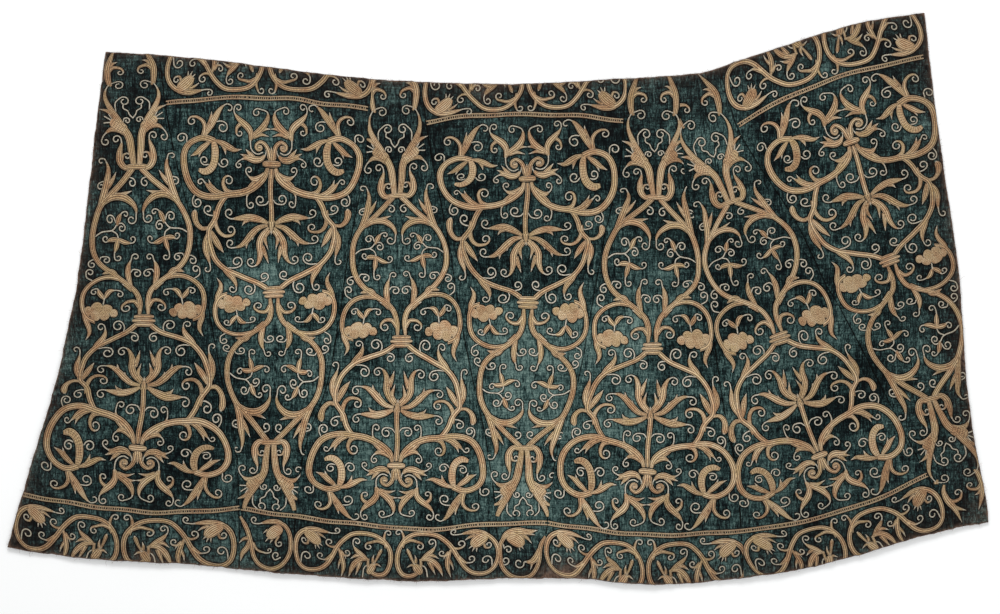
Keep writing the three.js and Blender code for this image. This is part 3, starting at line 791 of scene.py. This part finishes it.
def gold_material():
    """Couched gilt thread: strands side by side, red-brown silk between, a paler one at each edge."""
    material, tree = new_material("couched gilt thread")
    rim, pale, ladder, tone, run, light = (
        add(tree, "Attribute", {"attribute_name": name}, {}, "Fac")
        for name in ("rim", "pale", "ladder", "tone", "run", "light")
    )
    place = add(tree, "TexCoord", {}, {}, "Object")
    # Sizes in millimetres. The thread is half a millimetre across, too fine to show, so its glints are
    # drawn 2.4 mm wide, as painted highlights in its colour, and its couching stitches 3.1 mm apart.
    # Rubbing and tarnish lie in 42 mm patches.
    glint_specks, patina = (
        add(tree, "TexNoise", {}, {
            "Vector": place, "Scale": 1 / (size * MM), "Detail": detail, "Roughness": rough,
        })
        for size, detail, rough in ((2.381, 2, 0.55), (41.67, 3, 0.6))
    )
    mix = 0.0
    for part, share in ((glint_specks, 0.72), (tone, 0.16), (patina, 0.14)):
        mix = add(tree, "Math", TIMES_PLUS, {0: part, 1: share, 2: mix})
    # The last ramp is painted light: it darkens the gold away from the lit patches and towards the raw
    # edges.
    gold, edge_gold, cream, reddish, painted_light_tint = (
        add(tree, "ValToRGB", {"stops": stops}, {0: factor})
        for factor, stops in (
            (mix, [(0.33, "#9b7e58"), (0.46, "#cdae84"), (0.57, "#e3c89f"), (0.74, "#ecd8bb")]),
            (glint_specks, [(0.3, "#bfa47f"), (0.5, "#e4cba4"), (0.7, "#f2e2c4")]),
            (glint_specks, [(0.28, "#97917f"), (0.5, "#c6c1b2"), (0.72, "#e4dfd2")]),
            (patina, [(0.36, "#e3b9a0"), (0.52, "#ffffff"), (0.66, "#e6e3c4")]),
            (add(tree, "Math", TIMES_PLUS, {0: light, 1: 1, 2: 0.5}),
             [(0.0, "#c4beb5"), (0.5, "#ddd9d3"), (1.0, "#f4f2ef")]),
        )
    )
    rows, rungs, stitches = (
        add(tree, "Math", COSINE, {0: add(tree, "Math", TIMES, {0: way, 1: 2 * math.pi / pitch})})
        for way, pitch in ((rim, 1.0), (run, 5.0), (run, 3.1))
    )
    edge = add(tree, "Math", BELOW, {0: rim, 1: 0.42})
    between = add(tree, "Math", KEPT_IN, {0: rows, 1: -2.2, 2: -0.044})
    gap = add(tree, "Math", KEPT_IN, {0: rungs, 1: -1.6, 2: -0.16})
    dark_gap = add(tree, "Math", TIMES, {0: gap, 1: 0.9})
    bars = add(tree, "Mix", OVER, {0: dark_gap, 6: gold, 7: "#3a2216"}, 2)
    bars = add(tree, "Mix", OVER, {0: edge, 6: bars, 7: edge_gold}, 2)
    # A dark line along the gold's outer edge: partly a dark outline, partly painted shade where the gold
    # meets the pile.
    outline_and_shade = add(tree, "Math", BELOW, {0: rim, 1: 0.16})
    laid = gold
    for kind, share, colour in (
        (OVER, edge, edge_gold),
        (OVER, add(tree, "Math", TIMES, {0: between, 1: 0.86}), "#442819"),
        (OVER, ladder, bars),
        (STAIN, 0.5, reddish),
        (OVER, add(tree, "Math", TIMES, {0: outline_and_shade, 1: 0.6}), "#3a2215"),
        (OVER, pale, cream),
        (STAIN, 1.0, painted_light_tint),
    ):
        laid = add(tree, "Mix", kind, {0: share, 6: laid, 7: colour}, 2)
    height = 0.0
    for part, share in ((rows, 0.5), (stitches, 0.35), (glint_specks, 0.6)):
        height = add(tree, "Math", TIMES_PLUS, {0: part, 1: share, 2: height})
    surface = add(tree, "BsdfPrincipled", {}, {
        "Base Color": laid, "Roughness": add(tree, "Math", TIMES_PLUS, {0: glint_specks, 1: 0.3, 2: 0.5}),
        "Specular IOR Level": 0.35,
        "Normal": add(tree, "Bump", {}, {"Strength": 0.5, "Distance": 0.0006, "Height": height}),
    })
    add(tree, "OutputMaterial", {}, {"Surface": surface})
    return material


gilt = gold_material()
EDGE_KEEP = 1.2
SEAM_CROSS = 2.5
HAND_SHIFT = 1.1
OVER_PILE = 0.15
# Painted shade: how much the gold and the strip beside it are darkened near the raw edge, and its reach
# in millimetres.
EDGE_SHADE = 0.5
EDGE_SHADE_REACH = 55


def needlework(name, places, data, faces, left_seam=None, right_seam=None):
    """Strokes laid on the cloth, cut off at the raw edge and just over the seams."""
    x, y = places[:, 0].copy(), places[:, 1].copy()
    places = places + HAND_SHIFT * np.stack([np.sin(y / 17 + x / 31), np.sin(x / 19 - y / 27)], axis=1)
    deep = sample(depth_field, places)
    out = deep < EDGE_KEEP
    places = places + np.where(out, EDGE_KEEP - deep, 0)[:, None] * sample(inward_field, places)
    for seam, hand in ((left_seam, -1), (right_seam, 1)):
        if seam is None:
            continue
        order = np.argsort(seam[:, 1])
        line_x = np.interp(places[:, 1], seam[order, 1], seam[order, 0])
        over = hand * (places[:, 0] - line_x) > SEAM_CROSS
        places[:, 0] = np.where(over, line_x + hand * SEAM_CROSS, places[:, 0])
        out = out | over
    faces = faces[~out[faces].all(axis=1)]
    height = PILE_TOP + OVER_PILE + lie(places) + data[:, 2]
    strip_beside = data[:, TRAITS.index("beside")]
    values = {name: data[:, TRAITS.index(name)] for name in ("rim", "pale", "ladder", "tone", "run")}
    # The strip beside the gold is darkened towards the gold: partly pressed pile, partly painted shade.
    values |= pile_values(places) | {"near": 1 - strip_beside}
    # Painted shade: the gold and its strip are darkened towards the raw edge.
    values["light"] -= EDGE_SHADE * np.exp(-np.maximum(deep, 0) / EDGE_SHADE_REACH)
    finish = (strip_beside[faces].max(axis=1) > 0.5).astype(int)
    return mesh_object(name, np.c_[places, height], faces, [gilt, velvet], values, finish)


def seam_beside(number):
    """The seams at the left and right of a gore, or none at the panel's own ends."""
    left = seams[number - 1] if number > 0 else None
    right = seams[number] if number < len(seams) else None
    return left, right


rng = np.random.default_rng(20)
for number, (axis, fit, cut) in enumerate(MOTIFS):
    strokes = [sweep(row, side, rng) for row in HALF_MOTIF for side in (1, -1)]
    strokes += [sweep(row, 1, rng) for row in ON_MIDDLE]
    data, faces = gather(strokes)
    below = data[:, 1] < np.where(data[:, 0] < 0, *cut)
    faces = faces[below[faces].all(axis=1)]
    places = set_out(axis, fit, data[:, 0], data[:, 1])
    gold = needlework(f"gold_motif_{number + 1}", places, data, faces, *seam_beside(number))
    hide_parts(f"gore_{number + 1}_gold")
    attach(gold, "root")


# Cloud cushions. A puffy patch of gilt thread, tied down in small spots over a soft padding,
# lies in the bend of each small scroll: a cluster of overlapping round cushions.

CLOUD_PUFFS = [
    # across, up, reach
    (57, 390, 8.5),
    (104, 393, 10),
    (69, 398, 10),
    (88, 399, 12.5),
    (75, 386, 10.5),
    (92, 385, 10.5),
]
PUFF_HEIGHT = 0.8
PUFF_STRAND = 3.0
PUFF_LADDER = 0.4
PUFF_RUN = 1.7
PUFF_STACK = 0.16


def puff(across, up, reach, lift, side, rng):
    """One round cushion with the dark strip beside it, partly pressed pile and partly painted shade, in
    rings from its middle.
    """
    turn = np.linspace(0, 2 * math.pi, 19)[None, :]
    rings = np.array([0.02, 0.4, 0.72, 0.92, 1.0, 1.0])[:, None]
    beside = np.array([0, 0, 0, 0, 0, 1.0])[:, None]
    wobble = 1 + 0.05 * np.sin(3 * turn + rng.uniform(0, 6.28))
    out = rings * reach * wobble + beside * HALO
    u = side * (across + out * np.cos(turn * side))
    v = up + out * np.sin(turn * side)
    dome = PUFF_HEIGHT * np.sqrt(np.clip(1 - rings ** 2, 0, 1)) + lift
    rise = 0.3 + dome * (1 - beside) - 0.28 * beside
    rim = (1 - rings) * reach / PUFF_STRAND
    tone = rng.uniform(0, 1)
    traits = (rise, rim, beside, 0.0, PUFF_LADDER, tone, v * PUFF_RUN)
    spread = [np.broadcast_to(x, u.shape) for x in traits]
    return np.stack([u, v, *spread], axis=-1).reshape(-1, len(TRAITS)), grid_faces(*u.shape)


for number, (axis, fit, _) in enumerate(MOTIFS):
    stacked = [(*row, PUFF_STACK * order) for order, row in enumerate(CLOUD_PUFFS)]
    data, faces = gather([puff(*row, side, rng) for row in stacked for side in (1, -1)])
    places = set_out(axis, fit, data[:, 0], data[:, 1])
    cloud = needlework(f"cloud_patches_{number + 1}", places, data, faces)
    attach(cloud, "root")


# Border scrolls. The same couched work, in a lower running scroll with a flower and a husk,
# between the guard bands and the raw edge, which cuts through it. It is pricked from a half
# pattern too, hanging below the foot of each tall motif.

HALF_BORDER = [
    # the running stem
    ("stem", 8.5, [(50, -72), (50, -86), (44, -98), (32, -104), (18, -101), (9, -88), (6, -68),
                   (10, -48), (22, -30), (40, -19), (64, -17), (84, -22), (100, -36), (112, -52),
                   (124, -74), (136, -92), (152, -104), (174, -107), (189, -97), (196, -78),
                   (196, -58), (190, -41), (178, -28), (162, -22)]),
    # outer flower, with the leaf over it
    ("leaf", 11, [(188, -38), (173, -25), (153, -20), (137, -21), (123, -23)],
                  (113, -16, 6.5, -1, 1.2)),
    ("egg", 24, [(176, -28), (161, -36), (147, -48)]),
    ("lobe", 3.5, [(150, -46), (142, -53)]),
    ("lobe", 3.5, [(153, -49), (148, -59)]),
    ("lobe", 3.5, [(156, -49), (156, -60)]),
    ("lobe", 7.5, [(156, -27), (143, -30), (134, -36)]),
    ("horn", 5.5, [(168, -40), (172, -52)], (178, -47, 7, 1, 1.1)),
    ("cord", CORD, [(186, -97), (185, -82)], (174.5, -79, 9.5, 1, 1.2)),
    # curls over the stem
    ("horn", 8.5, [(14, -46), (20, -28)], (10, -15, 7, 1, 1.1)),
    ("horn", 8.5, [(14, -38), (32, -31), (46, -34)], (50, -43, 7.5, -1, 1.2)),
    ("horn", 5.5, [(110, -50), (121, -53)], (127, -43, 8, 1, 1.2)),
    ("horn", 5.5, [(108, -60), (100, -66)], (92, -60, 6.5, -1, 1.1)),
    ("leaf", 9, [(110, -52), (104, -68), (101, -88), (106, -110)]),
    ("lobe", 5.5, [(104, -74), (110, -86), (112, -96)]),
    ("leaf", 9, [(112, -54), (122, -70), (135, -81), (144, -82)], (147, -74, 7.5, 1, 1.1)),
    ("lobe", 5.5, [(106, -58), (98, -66), (95, -73)]),
    # inner flower in its fan of leaves
    ("egg", 15, [(51, -101), (45, -91), (38, -80)]),
    ("bud", 7.5, [(42, -86), (34, -71), (25, -49)]),
    ("lobe", 6.5, [(42, -84), (33, -81), (25, -86)]),
    ("lobe", 6.5, [(39, -79), (41, -69), (39, -61)]),
    ("leaf", 10, [(50, -72), (61, -63), (73, -53), (80, -43)], (73, -35, 7.5, 1, 1.2)),
    ("lobe", 8.5, [(64, -62), (75, -64), (85, -71)]),
    ("leaf", 11, [(48, -71), (63, -70), (76, -79), (85, -92), (91, -108)]),
    ("lobe", 8.5, [(66, -75), (71, -89), (77, -104)]),
    ("cord", CORD, [(49, -80), (59, -89), (63, -108)]),
]
BORDER_FITS = [
    # shift across, spread at left and right, rise at left and right
    (-29, 1.06, 1.16, 38, 5),
    (9, 1.08, 1.0, 31, 15),
    (-7, 1.0, 1.06, 26, 10),
    (-2, 1.02, 1.02, 17, 15),
    (-4, 1.0, 1.03, 44, 17),
    (-3, 1.0, 1.04, 42, 20),
    (0, 1.0, 1.05, 21, 35),
]
BORDER_TOP = -6
node_names = list(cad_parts)
for number, (axis, _, _) in enumerate(MOTIFS):
    data, faces = gather([sweep(row, side, rng) for row in HALF_BORDER for side in (1, -1)])
    below = data[:, 1] < BORDER_TOP
    faces = faces[below[faces].all(axis=1)]
    places = set_out(axis, BORDER_FITS[number], data[:, 0], data[:, 1])
    border = needlework(f"border_scroll_{number + 1}", places, data, faces, *seam_beside(number))
    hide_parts(*[name for name in node_names if name.startswith(f"gore_{number + 1}_border")])
    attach(border, "root")


# Single sprays. Below the two narrow gore ends there is room for one leafy stem each, and the
# last corner keeps the cut stump of another.

SPRAYS = {
    "spray_1": [
        ("stem", 8, [(-516, -437), (-502, -462), (-493, -488), (-487, -515), (-475, -533),
                     (-453, -541), (-431, -532), (-418, -512), (-415, -490), (-418, -468),
                     (-428, -453), (-445, -446)]),
        ("leaf", 10, [(-422, -458), (-438, -447), (-458, -445), (-478, -449)],
                      (-488, -442, 7, -1, 1.2)),
        ("egg", 25, [(-432, -459), (-447, -466), (-461, -477)]),
        ("lobe", 5, [(-456, -474), (-465, -485)]),
        ("lobe", 5, [(-450, -478), (-456, -489)]),
        ("lobe", 7, [(-450, -464), (-462, -462), (-470, -468)]),
        ("horn", 5, [(-438, -474), (-445, -486)], (-438, -491, 6.5, 1, 1.1)),
        ("cord", CORD, [(-434, -518), (-444, -523)], (-443, -514, 7.5, -1, 1.0)),
        ("horn", 5, [(-490, -486), (-480, -502), (-464, -509)], (-457, -504, 5, 1, 1.1)),
        ("leaf", 10, [(-495, -478), (-500, -496), (-510, -508), (-515, -523)]),
        ("lobe", 7, [(-497, -478), (-508, -480), (-516, -488)]),
    ],
    "spray_2": [
        ("stem", 8, [(94, -475), (86, -495), (83, -520), (76, -538), (64, -553), (44, -558), (24, -553),
                     (9, -538), (3.5, -518), (4, -493), (14, -475)]),
        ("leaf", 16, [(7, -484), (20, -470), (40, -466), (58, -468), (78, -464)]),
        ("lobe", 9, [(46, -468), (62, -471), (74, -473)]),
        ("lobe", 9, [(44, -472), (58, -479), (68, -489)]),
        ("egg", 27, [(19, -475), (35, -481), (51, -494)]),
        ("lobe", 5, [(40, -490), (44, -504)]),
        ("lobe", 5, [(43, -488), (51, -501)]),
        ("leaf", 12, [(83, -498), (78, -514), (67, -525), (52, -526)], (41, -529, 10, -1, 1.1)),
        ("lobe", 8, [(76, -516), (68, -528), (64, -540)]),
        ("cord", CORD, [(10, -490), (12, -500)], (20, -503, 8, -1, 1.2)),
        ("cord", CORD, [(5, -528), (8, -533)], (14, -525, 8, 1, 1.2)),
    ],
    "corner_spray": [
        ("leaf", 12, [(891, -372), (891, -386), (900, -404), (914, -421), (927, -447)]),
        ("lobe", 9, [(908, -416), (922, -421), (936, -424)]),
        ("horn", 9, [(896, -398), (909, -406), (923, -401)], (918, -388, 8, 1, 1.1)),
    ],
}
for name, rows in SPRAYS.items():
    data, faces = gather([sweep(row, 1, rng) for row in rows])
    spray = needlework(f"leafy_{name}", data[:, :2].copy(), data, faces)
    if name in node_names:
        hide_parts(name)
    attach(spray, "root")


# Guard bands. Two couched cords about nine millimetres apart with short bars of the same pale
# thread laid between them like the rungs of a ladder, dark ground showing in between.

GUARD_WIDTH = 9.0
GUARD_CORD = 2.6
GUARD_CREAM = 0.1
CORD_LIFT = 0.1
RUNG_PITCH = 4.3
RUNG_WIDTH = 2.3
RUNG_LIFT = -0.15
RUNG_LEAN = 0.3
RUNG_SHIFT = 0.5
GUARDS = {
    "guard_top_1": [(-664, 390), (-616, 395), (-556, 401), (-450, 401), (-400, 398), (-350, 390),
                    (-306, 385), (-262, 380)],
    "guard_top_2": [(-142, 352), (-75, 363), (4, 368), (30, 368), (150, 366), (250, 355)],
    "guard_top_3": [(482, 346), (551, 388), (658, 435), (765, 465), (850, 482)],
    "guard_bottom_1": [(-950, -392), (-864, -407), (-797, -417), (-698, -427), (-615, -426),
                       (-518, -419)],
    "guard_bottom_2": [(-514, -420), (-416, -434), (-317, -447), (-234, -455), (-151, -462),
                       (-52, -454), (4, -450), (96, -449)],
    "guard_bottom_3": [(99, -449), (196, -462), (262, -470), (328, -473), (428, -469), (484, -464),
                       (564, -455), (663, -432), (729, -411), (796, -383), (858, -353)],
}


def guard_cord(line, width, lift):
    """One plain cord along a ready line, as points and faces."""
    data = strip(line, np.full(len(line), width), CORD_SECTION, lift, (GUARD_CREAM, 0.0, 0.5), 0.0)
    data[..., TRAITS.index("pale")] = GUARD_CREAM
    return data.reshape(-1, len(TRAITS)), grid_faces(*data.shape[:2])


for name, points in GUARDS.items():
    middle = smooth(points, 6)
    out = headings(middle)[1] * (GUARD_WIDTH - GUARD_CORD) / 2
    strokes = [guard_cord(middle + side * out, GUARD_CORD, CORD_LIFT) for side in (1, -1)]
    spine = smooth(points, RUNG_PITCH)
    for at, way, across in list(zip(spine, *headings(spine)))[1:-1]:
        over = across * (GUARD_WIDTH - GUARD_CORD) / 2 + rng.normal(0, RUNG_LEAN, 2)
        at = at + way * rng.normal(0, RUNG_SHIFT)
        strokes.append(guard_cord(np.linspace(at - over, at + over, 4), RUNG_WIDTH, RUNG_LIFT))
    data, faces = gather(strokes)
    guard = needlework(f"ladder_{name}", data[:, :2].copy(), data, faces)
    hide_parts(name)
    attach(guard, "root")


# Loose threads. The raw edges shed short ends of the silk ground, pinkish brown and pale,
# that lie out over the table or curl back on the pile.

THREADS = 620
THREAD_RADIUS = 0.28
THREAD_ROOT = 1.5
BENDS = 5


def thread_material():
    """Silk ground thread: dull pinkish brown, soft and hairy, its dye faded in 22 mm lengths."""
    material, tree = new_material("frayed silk ground thread")
    place = add(tree, "TexCoord", {}, {}, "Object")
    length = 22.22
    faded = add(tree, "TexNoise", {}, {
        "Vector": place, "Scale": 1 / (length * MM), "Detail": 2, "Roughness": 0.55,
    })
    dyes = [(0.3, "#4a3a33"), (0.5, "#8a7468"), (0.7, "#b9a593")]
    colour = add(tree, "ValToRGB", {"stops": dyes}, {0: faded})
    surface = add(tree, "BsdfPrincipled", {}, {"Base Color": colour, "Roughness": 0.85})
    add(tree, "OutputMaterial", {}, {"Surface": surface})
    return material


def loose_threads():
    """Short three-sided threads growing out of the raw edge."""
    rng = np.random.default_rng(77)
    ring = np.vstack([raw_edge, raw_edge[:1]])
    s = lengths(ring)
    verts, faces = [], []
    for _ in range(THREADS):
        at = rng.uniform(0, s[-1])
        root = np.array([np.interp(at, s, ring[:, 0]), np.interp(at, s, ring[:, 1])])
        inward = sample(inward_field, root[None])[0]
        inward /= max(np.linalg.norm(inward), 1e-6)
        heading = math.atan2(-inward[1], -inward[0]) + rng.normal(0, 0.75)
        length = rng.gamma(2.2, 1.5) + 1.0
        spot = root + inward * THREAD_ROOT
        turn = rng.normal(0, 0.45)
        drop = PILE_TOP + float(lie(root[None])[0]) - 0.4
        base = len(verts)
        for bend in range(BENDS):
            share = bend / (BENDS - 1)
            height = drop + 0.5 * math.sin(share * 2.5) - share * min(drop - 0.5, length * 0.25)
            radius = THREAD_RADIUS * (1 - 0.6 * share)
            height = max(height, radius)
            across = np.array([-math.sin(heading), math.cos(heading)])
            for corner in range(3):
                angle = corner * 2 * math.pi / 3
                x, y = spot + across * math.cos(angle) * radius
                verts.append((x, y, height + math.sin(angle) * radius))
            if bend:
                ringed = base + (bend - 1) * 3
                for corner in range(3):
                    a, b = ringed + corner, ringed + (corner + 1) % 3
                    faces.append((a, b, b + 3, a + 3))
            step = (length + THREAD_ROOT) / (BENDS - 1)
            spot = spot + np.array([math.cos(heading), math.sin(heading)]) * step
            heading += turn
    return np.array(verts), np.array(faces)


verts, faces = loose_threads()
frayed = mesh_object("loose_threads", verts, faces, [thread_material()], {})
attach(frayed, "root")

# Table, light and camera. The panel lies on a plain pale table under soft light that comes a
# little more from the far side, and the camera looks straight down on it.

CAMERA_AT = (0.004, -0.017)
VIEW_WIDE = 2.0
LENS = 85.0
FILM = 36.0
TABLE_HALF = 6.0
ROOM_LIGHT = 0.66

table_mesh = bpy.data.meshes.new("pale_table")
top = bmesh.new()
bmesh.ops.create_grid(top, x_segments=1, y_segments=1, size=TABLE_HALF)
top.to_mesh(table_mesh)
top.free()
table = bpy.data.objects.new("pale_table", table_mesh)
bpy.context.collection.objects.link(table)
# Matt white paint on board: even, and without a gloss of its own.
table_paint, table_tree = new_material("white painted board")
surface = add(table_tree, "BsdfPrincipled", {}, {"Base Color": "#f7f8f8", "Roughness": 0.8})
add(table_tree, "OutputMaterial", {}, {"Surface": surface})
table_mesh.materials.append(table_paint)

world = bpy.data.worlds.new("soft room")
world.use_nodes = True
room = world.node_tree.nodes["Background"]
room.inputs["Color"].default_value = shade("#ffffff")
room.inputs["Strength"].default_value = ROOM_LIGHT
bpy.context.scene.world = world
bpy.context.scene.view_settings.view_transform = "Standard"


def soft_lamp(name, at, size, power):
    """A large soft lamp above the table, turned to the middle of the panel."""
    lamp = bpy.data.lights.new(name, "AREA")
    lamp.shape = "RECTANGLE"
    lamp.size, lamp.size_y = size
    lamp.energy = power
    piece = bpy.data.objects.new(name, lamp)
    bpy.context.collection.objects.link(piece)
    piece.location = at
    x, y, z = at
    piece.rotation_euler = (math.atan2(math.hypot(x, y), z), 0, math.atan2(-x, y) + math.pi)


soft_lamp("key_lamp", at=(-0.4, 3.4, 2.2), size=(2.4, 1.2), power=130)
soft_lamp("fill_lamp", at=(1.8, -2.0, 3.2), size=(2.4, 2.4), power=30)

camera = bpy.data.cameras.new("camera")
camera.lens = LENS
camera.sensor_width = FILM
eye = bpy.data.objects.new("camera", camera)
bpy.context.collection.objects.link(eye)
eye.location = (*CAMERA_AT, VIEW_WIDE * LENS / FILM)
bpy.context.scene.camera = eye
